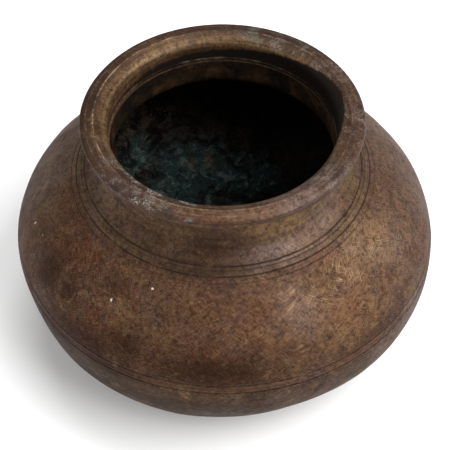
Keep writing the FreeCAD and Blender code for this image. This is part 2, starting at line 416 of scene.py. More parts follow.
def lip_slope(points, side, azimuth, radius):
    """Painted shade on the lip's slope and down the bore, darker lower down and on the side turned from the
    key lamp, and the slope itself, both from 0 to 1.
    """
    spread = math.radians(SHADE_SPREAD)
    reach = np.exp(-(turn_between(azimuth, SHADED_SIDE) / spread) ** 2)
    lit = np.exp(-(turn_between(azimuth, LIT_SIDE) / spread) ** 2)
    on_slope = points[:, 2] > CREST - BEVEL_DROP - 0.2 * MM
    below_top = CREST - (SHADE_TOP - SHADE_CLIMB * reach) - points[:, 2]
    painted_bore_shade = np.clip(below_top / (SHADE_FADE - SHADE_CRISP * reach), 0, 1)
    painted_bore_shade *= (side == OUTSIDE) * (radius < MOUTH_RADIUS + 1 * MM + SHADE_OUT * reach * on_slope)
    painted_bore_shade *= (1 - LIT_SHARE * lit) * SHADE_SHARE
    below_crest = (LIP_RADIUS - CREST_FROM_EDGE - 0.4 * MM - radius) / (4.5 * MM)
    bevel = (side == OUTSIDE) * on_slope * np.clip(below_crest, 0, 1) ** 0.6
    return painted_bore_shade, bevel


def revolved_faces(count, turns, poles):
    """Corners of each face: four-sided ones all round, and with poles two fans that close on the axis."""
    first = np.arange(turns)
    second = np.roll(first, -1)
    rows = np.arange(count - 1) if poles else np.arange(count)
    after = (rows + 1) % count
    quads = np.stack([second[:, None] * count + rows, second[:, None] * count + after,
                      first[:, None] * count + after, first[:, None] * count + rows], -1)
    faces = quads.reshape(-1, 4).tolist()
    if poles:
        bottom, top = count * turns, count * turns + 1
        faces += [(first[i] * count, bottom, second[i] * count) for i in range(turns)]
        faces += [(second[i] * count + count - 1, top, first[i] * count + count - 1) for i in range(turns)]
    return faces


def turn(name, section, turns, poles=False):
    """Mesh of revolution of a closed half section, or of one that starts and ends on the axis."""
    places, normals, sides, along = section
    angle = np.linspace(0, 2 * math.pi, turns, endpoint=False) + math.pi / 2

    def revolved(rows):
        across = np.cos(angle)[:, None] * rows[:, 0]
        back = np.sin(angle)[:, None] * rows[:, 0]
        up = np.tile(rows[:, 1], (turns, 1))
        return np.stack([across, back, up], -1).reshape(-1, 3)

    points, normal = revolved(places), revolved(normals)
    side, arc_length = np.tile(sides, turns), np.tile(along, turns)
    azimuth = np.arctan2(points[:, 0], -points[:, 1])
    radius = np.hypot(points[:, 0], points[:, 1])
    line_shift, grime = cut_lines(points, normal, side, radius)
    nick_shift, edge = nick_edges(points, normal, side, azimuth, radius)
    painted_bore_shade, bevel = lip_slope(points, side, azimuth, radius)
    moved = uneven(points, normal, side) + line_shift + nick_shift
    values = {"arc": arc_length, "around": azimuth * ROUND_RADIUS, "grime": grime, "edge": edge}
    # Painted shade in the bore, and the lip's slope.
    values |= {"painted_bore_shade": painted_bore_shade, "bevel": bevel}
    for key in PATCHES:
        shown = side == (INSIDE if key in INSIDE_PATCHES else OUTSIDE)
        values[key] = patch_strength(key, azimuth, points[:, 2], radius) * shown
    values["strokes"] *= np.clip((math.pi - np.abs(azimuth)) / math.radians(BACK_FADE), 0, 1)
    if poles:
        moved[side == JOINT] = points[side == JOINT]
        moved = np.vstack([moved, [[0, 0, places[0, 1]], [0, 0, places[-1, 1]]]])
        values = {key: np.concatenate([value, value[[0, -1]]]) for key, value in values.items()}
        side = np.concatenate([side, side[[0, -1]]])
    else:
        along = np.append(along, along[-1] + np.linalg.norm(places[-1] - places[0]))

    mesh = bpy.data.meshes.new(name)
    mesh.from_pydata(moved.tolist(), [], revolved_faces(len(places), turns, poles))
    flat_map(mesh, turns, along, poles)
    for key, value in values.items():
        attribute = mesh.attributes.new(key, "FLOAT", "POINT")
        attribute.data.foreach_set("value", value.astype(np.float32))
    mark_inside(mesh, side == INSIDE)
    mesh.shade_smooth()
    mesh.set_sharp_from_angle(angle=math.radians(SHARP_ANGLE))
    piece = bpy.data.objects.new(name, mesh)
    bpy.context.scene.collection.objects.link(piece)
    return piece


def mark_inside(mesh, inner):
    """Gives the second material to the faces whose corners are all on the inside."""
    corners = np.zeros(len(mesh.loops), np.int32)
    mesh.loops.foreach_get("vertex_index", corners)
    starts = np.zeros(len(mesh.polygons), np.int32)
    mesh.polygons.foreach_get("loop_start", starts)
    inside = np.logical_and.reduceat(inner[corners], starts)
    mesh.polygons.foreach_set("material_index", inside.astype(np.int32))


# Patches of patina, and of painted light and shade: azimuth in degrees, then height, half width, half height
# in mm, and strength.
PATCHES = {
    # Worn: real wear, which on the key-lit right side is also painted light, as at 112 and on the lip at 36
    # degrees.
    "worn_and_painted_light": [
        (38, 104, 26, 9, 1.0), (24, 105, 22, 8, 0.8), (57, 106, 24, 10, 0.9), (15, 97, 18, 7, 0.6),
        (80, 96, 18, 10, 0.6), (29, 131, 16, 6, 1.0), (62, 128, 16, 7, 0.6), (-10, 64, 4, 9, 0.8),
        (30, 84, 26, 8, 0.7), (-34, 98, 16, 8, 0.6), (130, 100, 24, 12, 0.5), (-150, 100, 20, 12, 0.4),
        (-20, 62, 26, 5, 0.4), (40, 62, 30, 5, 0.4), (-58, 125, 16, 7, 0.9), (46, 82, 16, 6, 0.6),
        (112, 104, 26, 9, 0.7), (36, 151, 20, 3, 0.7), (-84, 122, 14, 9, 0.7),
    ],
    "strokes": [
        (38, 104, 20, 7, 1.0), (24, 104, 14, 6, 0.9), (57, 106, 16, 8, 0.8), (20, 88, 14, 5, 0.8),
        (-36, 98, 9, 5, 0.8), (30, 84, 30, 8, 0.5), (-150, 100, 20, 12, 0.5), (130, 96, 24, 12, 0.6),
        (-10, 64, 4, 9, 0.6), (0, 90, 60, 30, 0.22), (-90, 90, 60, 30, 0.2), (90, 90, 60, 30, 0.3),
    ],
    "red": [
        (-6, 82, 22, 7, 1.0), (-5, 88, 12, 10, 1.0), (-9, 152, 9, 3, 1.0), (-2, 104, 16, 12, 0.6),
        (-16, 82, 26, 8, 0.9), (4, 132, 16, 4, 0.5), (100, 84, 20, 12, 0.5), (-120, 96, 26, 14, 0.4),
        (-80, 82, 16, 12, 0.7),
    ],
    # Dark: dark patina, and painted shade on the left, the low front, below the lines and round the lip.
    "dark_patina_and_painted_shade": [
        (-60, 91, 8, 9, 1.0), (-27, 86, 9, 7, 0.9), (-49, 91, 8, 7, 0.8), (-2, 80, 34, 7, 1.0),
        (-40, 78, 30, 7, 0.8), (-4, 126, 16, 7, 0.8), (-30, 122, 8, 4, 0.4), (138, 151, 14, 4, 0.8),
        (-100, 151.5, 60, 2.6, 1.0), (-36, 104, 8, 5, 0.4), (150, 90, 14, 12, 0.6), (-100, 78, 26, 12, 0.9),
        (-56, 60, 44, 12, 1.0), (100, 149, 40, 3.0, 1.0), (160, 152, 60, 1.8, 0.9), (-4, 118, 30, 2.5, 0.5),
        (44, 77, 20, 6, 0.5), (-20, 56, 60, 9, 0.6), (-45, 46, 50, 14, 1.0), (-4, 82, 24, 7, 1.0),
        (-31, 69, 20, 6, 1.0),
    ],
    "gold": [
        (29, 131, 14, 6, 1.0), (12, 133, 10, 4, 0.6), (-60, 124, 12, 6, 0.7), (-92, 150, 60, 6, 0.5),
        (14, 78, 14, 5, 0.6), (42, 90, 14, 8, 0.5), (60, 104, 12, 8, 0.5), (-46, 88, 10, 6, 0.4),
    ],
    "olive": [
        (-25, 128, 8, 4, 1.0), (160, 152, 9, 4, 1.0), (-80, 96, 18, 14, 0.5), (-14, 132, 8, 4, 0.8),
        (60, 92, 20, 12, 0.3), (-70, 104, 14, 8, 0.5), (4, 80, 30, 8, 0.5),
    ],
    # Painted sheen: grey highlights painted into the colour, on the neck, the lip and the body.
    "gloss_and_painted_sheen": [
        (20, 121, 18, 5, 1.0), (48, 124, 14, 7, 0.6), (62, 100, 30, 16, 0.4), (-88, 102, 12, 10, 0.6),
        (34, 151, 24, 3, 1.0), (100, 92, 30, 12, 0.5), (22, 100, 12, 8, 0.4), (58, 66, 28, 8, 0.6),
        (-62, 123, 14, 6, 0.5),
    ],
    "pale": [
        (152, 152, 20, 2.5, 0.55), (118, 151.5, 18, 2.5, 0.5), (84, 151.5, 18, 2.5, 0.6),
        (-50, 151, 14, 2.2, 1.0), (-33, 151.5, 12, 2.2, 1.0), (-17, 150.6, 10, 1.6, 1.0),
        (50, 152, 12, 2.5, 0.5), (-90, 102, 2.5, 2.5, 0.7), (80, 94, 3, 3, 0.7), (140, 152, 10, 2, 0.6),
    ],
    "chip": [
        (-35.5, 100, 1.1, 0.8, 1.0), (-24, 109, 0.9, 0.7, 1.0), (-77.5, 94, 1.0, 0.9, 1.0),
        (-71, 96, 0.7, 0.6, 0.9), (10, 101, 0.7, 0.6, 0.8), (118, 96, 1.0, 0.9, 0.9),
        (-160, 88, 1.1, 0.8, 0.9),
    ],
    "green": [
        (-12.5, 151.4, 1.2, 0.6, 1.0), (-40, 142, 14, 2, 0.6), (165, 152, 3, 1.4, 0.3),
    ],
    "rub": [
        (-100, 148, 80, 20, 1.0), (-40, 148, 40, 20, 0.7), (0, 148, 30, 20, 0.7), (40, 148, 20, 20, 0.4),
        (-160, 138, 50, 9, 0.8),
    ],
    "teal": [
        (-168, 20, 36, 14, 1.0), (170, 16, 26, 11, 1.0), (-146, 32, 24, 12, 0.9), (-124, 46, 18, 10, 0.55),
        (150, 10, 18, 7, 0.7), (-150, 12, 30, 8, 0.9), (-110, 20, 20, 12, 0.7),
    ],
    "copper": [
        (-175, 22, 4, 2.6, 1.0), (-167, 21, 3, 2, 0.9), (-140, 40, 4, 3, 0.9), (-133, 50, 3, 3, 0.8),
        (-155, 46, 3, 2, 0.7),
    ],
    "grains": [
        (-146, 42, 44, 20, 1.0), (-172, 24, 44, 16, 0.8), (-120, 30, 40, 24, 0.8), (120, 50, 24, 18, 0.3),
    ],
}
INSIDE_PATCHES = ("teal", "copper", "grains")


def patch_strength(key, azimuth, height, radius):
    spots = [amount * blob(azimuth, height, radius, centre, tall_at, width, tall)
             for centre, tall_at, width, tall, amount in PATCHES[key]]
    return np.max(spots, axis=0)


def lip_section():
    fillet = LIP_RADIUS - BAND_UNDERCUT - FILLET_STEP
    nose = (LIP_RADIUS, CREST - NOSE_DROP)
    crest = (LIP_RADIUS - CREST_FROM_EDGE, CREST)
    shelf_end = (crest[0] + SHELF_WIDTH, CREST - SHELF_DROP)
    band_low = (LIP_RADIUS - BAND_UNDERCUT, CREST - BAND_DROP)
    bevel_end = (MOUTH_RADIUS, CREST - BEVEL_DROP)
    return outline(
        (straight((MOUTH_RADIUS, SKIRT_FOOT), (SKIRT_RADIUS, SKIRT_FOOT)), JOINT),
        (straight((SKIRT_RADIUS, SKIRT_FOOT), (SKIRT_RADIUS, RIM_SEAM)), JOINT),
        (straight((SKIRT_RADIUS, RIM_SEAM), (fillet - COVE_RADIUS, RIM_SEAM)), JOINT),
        (arc((fillet, CREST - FILLET_DROP - COVE_RADIUS), COVE_RADIUS, 180, 90), OUTSIDE),
        (straight((fillet, CREST - FILLET_DROP), (fillet, CREST - BAND_DROP)), OUTSIDE),
        (straight((fillet, CREST - BAND_DROP), band_low), OUTSIDE),
        (straight(band_low, nose), OUTSIDE),
        (bezier(smooth(shelf_end, heading(5), 0.55, nose, (0, -1), 0.35))[::-1], OUTSIDE),
        (straight(shelf_end, crest), OUTSIDE),
        (bezier(smooth(crest, heading(180 - 28), 0.45, bevel_end, (0, -1), 0.40)), OUTSIDE),
        (straight(bevel_end, (MOUTH_RADIUS, SKIRT_FOOT)), OUTSIDE),
    )


def collar_section():
    bore_end = (BORE_RADIUS, NECK_FOOT + BORE_FLARE_HEIGHT)
    seat_edge = between(SHOULDER_IN, 1, SEAT, NECK_FOOT)[-1]
    return outline(
        (straight(seat_edge, (COLLAR_FOOT_RADIUS, SEAT)), JOINT),
        (straight((COLLAR_FOOT_RADIUS, SEAT), (COLLAR_FOOT_RADIUS, NECK_FOOT)), JOINT),
        (straight((COLLAR_FOOT_RADIUS, NECK_FOOT), BAND_TOP), OUTSIDE),
        (FLARE[::-1], OUTSIDE),
        (straight((THROAT_RADIUS, RIM_SEAM - RIM_BRAZE_LEG), (THROAT_RADIUS, RIM_SEAM)), JOINT),
        (straight((THROAT_RADIUS, RIM_SEAM), (SKIRT_RADIUS, RIM_SEAM)), JOINT),
        (straight((SKIRT_RADIUS, RIM_SEAM), (SKIRT_RADIUS, SKIRT_FOOT)), JOINT),
        (straight((SKIRT_RADIUS, SKIRT_FOOT), (MOUTH_RADIUS, SKIRT_FOOT)), JOINT),
        (straight((MOUTH_RADIUS, SKIRT_FOOT), (BORE_RADIUS, SKIRT_FOOT)), OUTSIDE),
        (straight((BORE_RADIUS, SKIRT_FOOT), bore_end), INSIDE),
        (BORE_FLARE, INSIDE),
        (between(SHOULDER_IN, 1, SEAT, SHOULDER_IN[0][1]), INSIDE),
    )


def belly_section():
    outer = between(SHOULDER_OUT, 1, BELLY_SEAM, NECK_FOOT)
    inner = between(SHOULDER_IN, 1, BRAZE_TOP, SHOULDER_BRAZE_LOW)
    socket = between(SOCKET, 1, BELLY_SEAM, BRAZE_TOP)
    return outline(
        (straight(socket[-1], outer[-1]), JOINT),
        (outer[::-1], OUTSIDE),
        (straight((COLLAR_FOOT_RADIUS, NECK_FOOT), (COLLAR_FOOT_RADIUS, SEAT)), JOINT),
        (straight((COLLAR_FOOT_RADIUS, SEAT), (SHOULDER_BRAZE_RADIUS, SEAT)), JOINT),
        (straight((SHOULDER_BRAZE_RADIUS, SEAT), inner[0]), JOINT),
        (inner, INSIDE),
        (straight(inner[-1], socket[0]), JOINT),
        (socket, JOINT),
    )


def bowl_section():
    """From near the axis under the foot, up the outside, over the tongue and down inside to the gap."""
    outer = between(SHOULDER_OUT, 1, GIRTH, BELLY_SEAM)
    tongue = between(SOCKET, 1, BELLY_SEAM, TONGUE_TOP)
    inner = between(SHOULDER_IN, 1, GIRTH, TONGUE_TOP)
    bowl_out, bowl_in = bowl_curve(0, 0), bowl_curve(WALL, FOOT_WALL)
    return outline(
        (straight((AXIS_GAP, 0), bowl_out[-1]), OUTSIDE),
        (bowl_out[::-1], OUTSIDE),
        (outer[::-1], OUTSIDE),
        (straight(outer[0], tongue[-1]), JOINT),
        (tongue[::-1], JOINT),
        (straight(tongue[0], inner[0]), JOINT),
        (inner, INSIDE),
        (bowl_in, INSIDE),
        (straight(bowl_in[-1], (AXIS_GAP, FOOT_WALL)), INSIDE),
    )


def rim_braze_section():
    low, edge = (THROAT_RADIUS, RIM_SEAM - RIM_BRAZE_LEG), (THROAT_RADIUS + RIM_BRAZE_LEG, RIM_SEAM)
    corner = (THROAT_RADIUS, RIM_SEAM)
    return outline((straight(low, edge), OUTSIDE), (straight(edge, corner), JOINT),
                   (straight(corner, low), JOINT))


def shoulder_braze_section():
    inner = between(SHOULDER_IN, 1, SHOULDER_BRAZE_LOW, SEAT)
    corner = (SHOULDER_BRAZE_RADIUS, SEAT)
    return outline((straight(inner[-1], corner), JOINT), (straight(corner, inner[0]), JOINT),
                   (inner, INSIDE))


def belly_braze_section():
    inner = between(SHOULDER_IN, 1, TONGUE_TOP, BRAZE_TOP)
    outer = between(SOCKET, 1, TONGUE_TOP, BRAZE_TOP)
    return outline((straight(inner[-1], outer[-1]), JOINT), (outer[::-1], JOINT),
                   (straight(outer[0], inner[0]), JOINT), (inner, INSIDE))


# ---------------------------------------------------------------- materials
class Surface:
    """One procedural material. Each method adds nodes and returns the socket that holds the result."""

    def __init__(self, name):
        self.material = bpy.data.materials.new(name)
        self.material.use_nodes = True
        self.tree = self.material.node_tree
        self.tree.nodes.clear()
        self.place = self.tree.nodes.new("ShaderNodeTexCoord").outputs["Object"]

    def feed(self, socket, value):
        if isinstance(value, bpy.types.NodeSocket):
            self.tree.links.new(value, socket)
        elif isinstance(value, tuple) and len(value) == 3 and socket.type == "RGBA":
            socket.default_value = (*value, 1)
        else:
            socket.default_value = value

    def math(self, operation, a, b=0.0, clamp=False):
        node = self.tree.nodes.new("ShaderNodeMath")
        node.operation = operation
        node.use_clamp = clamp
        self.feed(node.inputs[0], a)
        self.feed(node.inputs[1], b)
        return node.outputs[0]

    def times(self, a, b):
        return self.math("MULTIPLY", a, b, clamp=True)

    def plus(self, a, b):
        return self.math("ADD", a, b, clamp=True)

    def ramp(self, value, low, high):
        """0 below low and 1 above high, with soft ends. With low above high it falls instead."""
        node = self.tree.nodes.new("ShaderNodeMapRange")
        node.interpolation_type = "SMOOTHSTEP"
        self.feed(node.inputs["Value"], value)
        node.inputs["From Min"].default_value = low
        node.inputs["From Max"].default_value = high
        return node.outputs[0]

    def attribute(self, name):
        node = self.tree.nodes.new("ShaderNodeAttribute")
        node.attribute_name = name
        return node.outputs["Fac"]

    def noise(self, size, detail=4, roughness=0.55, warp=0.0, place=None, offset=0.0):
        """Cloudy noise from 0 to 1 whose patches are about size millimetres across."""
        if offset:
            shift = self.tree.nodes.new("ShaderNodeVectorMath")
            shift.operation = "ADD"
            self.feed(shift.inputs[0], place or self.place)
            shift.inputs[1].default_value = (offset, offset * 1.7, -offset)
            place = shift.outputs[0]
        node = self.tree.nodes.new("ShaderNodeTexNoise")
        self.feed(node.inputs["Vector"], place or self.place)
        node.inputs["Scale"].default_value = 0.5 / (size * MM)
        node.inputs["Detail"].default_value = detail
        node.inputs["Roughness"].default_value = roughness
        node.inputs["Distortion"].default_value = warp
        return node.outputs["Fac"]

    def cells(self, size):
        """Distance to the nearest of scattered points about size millimetres apart, in that size."""
        node = self.tree.nodes.new("ShaderNodeTexVoronoi")
        self.feed(node.inputs["Vector"], self.place)
        node.inputs["Scale"].default_value = 1 / (size * MM)
        return node.outputs["Distance"]

    def brushed(self, angle, width, length, detail=0):
        """Noise from 0 to 1 drawn out along an angle to the pot's turn, in degrees. Sizes in millimetres."""
        flat = self.tree.nodes.new("ShaderNodeCombineXYZ")
        self.feed(flat.inputs[0], self.attribute("around"))
        self.feed(flat.inputs[1], self.attribute("arc"))
        node = self.tree.nodes.new("ShaderNodeMapping")
        node.vector_type = "TEXTURE"
        self.feed(node.inputs["Vector"], flat.outputs[0])
        node.inputs["Rotation"].default_value = (0, 0, math.radians(angle))
        node.inputs["Scale"].default_value = (length, width, 1)
        return self.noise(1, detail, 0.5, place=node.outputs[0])

    def strokes(self, angle, width, length, rare):
        """Clusters of short straight parallel strokes. A higher rare leaves fewer."""
        lines = self.ramp(self.brushed(angle, width, length), rare, rare + 0.10)
        return self.times(lines, self.ramp(self.noise(9, 3, 0.6, offset=angle * 0.01), 0.50, 0.62))

    def round_lines(self, spacing, seed):
        """Marks of the turning tool: noise that is fine along the outline and long round the pot."""
        spread = self.tree.nodes.new("ShaderNodeSeparateXYZ")
        self.feed(spread.inputs[0], self.place)
        joined = self.tree.nodes.new("ShaderNodeCombineXYZ")
        self.feed(joined.inputs[0], self.math("MULTIPLY", self.attribute("arc"), 1 / (spacing * MM)))
        self.feed(joined.inputs[1], self.math("MULTIPLY", spread.outputs[0], 14.0))
        self.feed(joined.inputs[2], self.math("MULTIPLY", spread.outputs[1], 14.0))
        node = self.tree.nodes.new("ShaderNodeTexNoise")
        node.noise_dimensions = "4D"
        self.feed(node.inputs["Vector"], joined.outputs[0])
        node.inputs["W"].default_value = seed
        node.inputs["Scale"].default_value = 1.0
        node.inputs["Detail"].default_value = 2
        return node.outputs["Fac"]

    def mix(self, share, a, b):
        node = self.tree.nodes.new("ShaderNodeMix")
        node.data_type = "RGBA"
        self.feed(node.inputs[0], share)
        self.feed(node.inputs[6], a)
        self.feed(node.inputs[7], b)
        return node.outputs[2]

    def blend(self, share, a, b):
        """Plain number between a and b."""
        node = self.tree.nodes.new("ShaderNodeMix")
        self.feed(node.inputs[0], share)
        self.feed(node.inputs[2], a)
        self.feed(node.inputs[3], b)
        return node.outputs[0]

    def bump(self, height, distance, below=None):
        """Relief of height times distance millimetres on top of an earlier relief."""
        node = self.tree.nodes.new("ShaderNodeBump")
        node.inputs["Strength"].default_value = 1.0
        node.inputs["Distance"].default_value = distance * MM
        self.feed(node.inputs["Height"], height)
        if below is not None:
            self.feed(node.inputs["Normal"], below)
        return node.outputs[0]

    def finish(self, colour, metallic, roughness, normal, specular):
        shader = self.tree.nodes.new("ShaderNodeBsdfPrincipled")
        shader.inputs["Specular IOR Level"].default_value = specular
        self.feed(shader.inputs["Base Color"], colour)
        self.feed(shader.inputs["Metallic"], metallic)
        self.feed(shader.inputs["Roughness"], roughness)
        self.feed(shader.inputs["Normal"], normal)
        output = self.tree.nodes.new("ShaderNodeOutputMaterial")
        self.tree.links.new(shader.outputs[0], output.inputs["Surface"])
        return self.material


# Colours of the patina, and of its painted shade and highlights, linear.
BROWN = (0.084, 0.040, 0.020)
RED_BROWN = (0.082, 0.024, 0.010)
DARK_BROWN = (0.013, 0.006, 0.003)
DEEP_BROWN = (0.022, 0.007, 0.003)
OCHRE = (0.150, 0.082, 0.030)
GOLD = (0.240, 0.140, 0.060)
PLUM = (0.078, 0.038, 0.031)
# Darker browns of the bowl, which paint shade on the lower body.
PAINTED_SHADE_BROWN = (0.060, 0.029, 0.015)
PAINTED_SHADE_PLUM = (0.056, 0.028, 0.022)
OLIVE = (0.092, 0.056, 0.018)
SLATE = (0.024, 0.017, 0.018)
# Grey-plum of the painted sheen, a painted highlight.
PAINTED_SHEEN = (0.170, 0.122, 0.116)
TAN = (0.235, 0.140, 0.070)
STROKE = (0.380, 0.260, 0.155)
PALE_GOLD = (0.430, 0.310, 0.190)
COPPER = (0.150, 0.052, 0.028)
GRIME = (0.008, 0.005, 0.004)
DUST = (0.300, 0.275, 0.240)
CHIP = (0.620, 0.540, 0.430)
SOOT = (0.0020, 0.0017, 0.0014)
ASH = (0.080, 0.060, 0.042)
# Painted shade down the lip's bore.
BORE_SHADE_BROWN = (0.007, 0.004, 0.002)
DEEP_TEAL = (0.021, 0.047, 0.044)
GREY_TEAL = (0.135, 0.165, 0.145)
VERDIGRIS = (0.140, 0.240, 0.200)
# Strokes: angle to the turn in degrees, width and length in mm, and how rare.
STROKES = [(28, 0.24, 4.0, 0.60), (48, 0.22, 3.0, 0.60), (-38, 0.24, 3.5, 0.60), (10, 0.20, 4.5, 0.60),
           (76, 0.24, 3.0, 0.61)]


def skin(s, main, second, third, cloud):
    """Clouds of three browns with slate, ochre and tan. Returns the colour and three finer noises."""
    clouds = s.ramp(s.noise(cloud, 5, 0.6, 0.6), 0.40, 0.60)
    drifts = s.ramp(s.noise(cloud * 0.45, 6, 0.66, 0.8, offset=0.21), 0.44, 0.60)
    mottle = s.noise(5, 8, 0.76, 0.3, offset=0.4)
    grain = s.noise(1.1, 4, 0.75)
    flecks = s.noise(2.3, 6, 0.80, 0.4, offset=1.3)
    colour = s.mix(clouds, main, second)
    colour = s.mix(s.times(drifts, 0.8), colour, third)
    colour = s.mix(s.times(s.ramp(s.noise(9, 7, 0.74, 0.6, offset=0.9), 0.54, 0.66), 0.85), colour, SLATE)
    colour = s.mix(s.times(s.ramp(s.noise(8, 7, 0.72, 0.6, offset=1.5), 0.53, 0.64), 0.55), colour, OCHRE)
    colour = s.mix(s.times(s.ramp(mottle, 0.47, 0.32), 0.60), colour, s.mix(0.6, main, TAN))
    colour = s.mix(s.times(s.attribute("bevel"), 0.7), colour, s.mix(0.3, OLIVE, TAN))
    return colour, mottle, grain, flecks


def placed_patches(s, colour, mottle):
    """Red, olive and gold areas, worn areas that are also painted light on the key-lit side, painted grey
    sheen, and dark areas of patina and painted shade, at their places. Returns the colour and the dark
    share.
    """
    red = s.times(s.attribute("red"), s.ramp(mottle, 0.62, 0.42))
    olive = s.times(s.attribute("olive"), s.ramp(mottle, 0.66, 0.40))
    # Dark patina, and painted shade on the left, the low front and the lip.
    dark_patina_and_painted_shade = s.times(s.attribute("dark_patina_and_painted_shade"), s.ramp(mottle, 0.32, 0.48))
    dark_patina_and_painted_shade = s.times(dark_patina_and_painted_shade, s.math("SUBTRACT", 1.0, s.attribute("bevel")))
    # Painted sheen: a grey highlight laid into the colour.
    painted_sheen = s.times(s.attribute("gloss_and_painted_sheen"), s.ramp(s.noise(9, 4, 0.6, offset=0.6), 0.30, 0.50))
    # Tan haze over worn areas, also painted light on the key-lit side.
    haze = s.times(s.attribute("worn_and_painted_light"), s.ramp(s.noise(11, 6, 0.62, 0.5, offset=1.1), 0.62, 0.42))
    colour = s.mix(s.times(red, 0.85), colour, RED_BROWN)
    colour = s.mix(s.times(olive, 0.85), colour, OLIVE)
    colour = s.mix(s.times(haze, 0.42), colour, s.mix(0.35, TAN, OLIVE))
    colour = s.mix(s.times(painted_sheen, 0.8), colour, PAINTED_SHEEN)
    gold_patch = s.times(s.attribute("gold"), s.ramp(mottle, 0.64, 0.44))
    colour = s.mix(s.times(gold_patch, 0.7), colour, GOLD)
    colour = s.mix(s.times(dark_patina_and_painted_shade, 0.85), colour, DARK_BROWN)
    return colour, dark_patina_and_painted_shade


def speckle(s, colour, main, mottle, grain, flecks):
    """Fine dark and tan mottling, and short brushed marks that cross each other."""
    colour = s.mix(s.times(s.ramp(mottle, 0.50, 0.68), 0.62), colour, DARK_BROWN)
    colour = s.mix(s.times(s.ramp(flecks, 0.50, 0.64), 0.72), colour, DARK_BROWN)
    colour = s.mix(s.times(s.ramp(grain, 0.50, 0.64), 0.72), colour, DARK_BROWN)
    colour = s.mix(s.times(s.ramp(grain, 0.46, 0.32), 0.50), colour, s.mix(0.6, main, TAN))

    for angle in (33, -48):
        brushed = s.brushed(angle, 0.16, 2.2, 2)
        colour = s.mix(s.times(s.ramp(brushed, 0.50, 0.66), 0.50), colour, DARK_BROWN)
        colour = s.mix(s.times(s.ramp(brushed, 0.48, 0.32), 0.40), colour, s.mix(0.6, main, TAN))
    return colour


def rubbed_through(s, colour, mottle, flecks, dark_patina_and_painted_shade, gold):
    """Tan rubbed areas, on the key-lit side also painted light, and bright strokes, then painted shade once
    more over the dark areas. Returns the colour, the bare share and the strokes.
    """
    patchy = s.ramp(s.noise(13, 5, 0.65, offset=1.9), 0.50, 0.62)
    # Worn areas: real wear, and painted light on the key-lit side.
    rub_and_painted_light_here = s.plus(s.attribute("worn_and_painted_light"), s.times(patchy, gold))
    rubbed = s.times(s.plus(s.ramp(flecks, 0.46, 0.34), s.ramp(mottle, 0.44, 0.30)), rub_and_painted_light_here)
    scratch = s.strokes(*STROKES[0])
    for stroke in STROKES[1:]:
        scratch = s.math("MAXIMUM", scratch, s.strokes(*stroke))
    lines = s.times(scratch, s.attribute("strokes"))
    bare = s.math("MAXIMUM", s.times(rubbed, 0.40), s.times(lines, 0.6))
    colour = s.mix(s.times(rubbed, 0.34), colour, TAN)
    colour = s.mix(s.times(lines, 0.60), colour, STROKE)
    # Painted shade: the dark areas are darkened once more.
    colour = s.mix(s.times(dark_patina_and_painted_shade, 0.72), colour, DEEP_BROWN)
    return colour, bare, scratch


def turning_marks(s, colour, turned):
    """Fine and coarse rings of the turning tool. Returns the colour and the fine rings."""
    turning = s.round_lines(0.55, 3.0)
    coarse_turning = s.round_lines(2.2, 8.0)
    colour = s.mix(s.times(s.ramp(coarse_turning, 0.48, 0.66), turned * 0.5), colour, DARK_BROWN)
    colour = s.mix(s.times(s.ramp(turning, 0.56, 0.72), turned * 0.30), colour, TAN)
    return colour, turning


def dirt(s, colour):
    """Pale specks, pits, chips, crust, green spots, and grime in the lines."""
    specks = s.ramp(s.cells(7), 0.05, 0.02)
    colour = s.mix(s.times(specks, 0.6), colour, DUST)
    pits = s.times(s.ramp(s.cells(3.4), 0.16, 0.07), s.ramp(s.noise(12, 3, offset=3.1), 0.46, 0.60))
    colour = s.mix(s.times(pits, 0.6), colour, GRIME)
    ragged = s.math("MULTIPLY", s.attribute("chip"), s.plus(0.4, s.noise(0.7, 3, offset=12.0)))
    chip = s.ramp(ragged, 0.40, 0.62)
    colour = s.mix(chip, colour, CHIP)

    crumbs = s.ramp(s.noise(0.35, 3, 0.7, offset=4.0), 0.44, 0.60)
    crumbs = s.times(crumbs, s.ramp(s.noise(3.2, 5, 0.7, offset=4.4), 0.48, 0.58))
    crust = s.times(s.attribute("pale"), crumbs)
    colour = s.mix(s.times(s.attribute("pale"), 0.5), colour, SLATE)
    colour = s.mix(s.times(crust, 0.75), colour, DUST)
    green = s.times(s.attribute("green"), s.ramp(s.noise(2.4, 5, 0.7, offset=5.0), 0.36, 0.54))
    colour = s.mix(s.times(green, 0.7), colour, VERDIGRIS)
    grime = s.times(s.attribute("grime"), s.ramp(s.noise(9, 4, 0.6, offset=6.0), 0.20, 0.50))
    colour = s.mix(s.times(grime, 0.9), colour, GRIME)
    return colour, pits, crust, grime


def bore_shade_and_edges(s, colour, flecks):
    """Painted shade on the lip's slope and in the bore, then the broken bright rubbing of its edges."""
    painted_bore_shade = s.attribute("painted_bore_shade")
    ragged = s.math("MULTIPLY", s.math("SUBTRACT", flecks, 0.5), 0.7)
    painted_bore_shade = s.ramp(s.plus(painted_bore_shade, ragged), 0.20, 0.55)
    painted_bore_shade = s.times(painted_bore_shade, s.ramp(s.attribute("painted_bore_shade"), 0.02, 0.20))
    colour = s.mix(painted_bore_shade, colour, BORE_SHADE_BROWN)
    broken = s.plus(s.ramp(s.noise(2.2, 6, 0.8, offset=2.2), 0.44, 0.60), 0.10)
    edge = s.times(s.attribute("edge"), s.times(broken, s.ramp(s.noise(14, 3, offset=2.6), 0.36, 0.52)))
    colour = s.mix(s.times(edge, 0.70), colour, PALE_GOLD)
    return colour, painted_bore_shade, edge


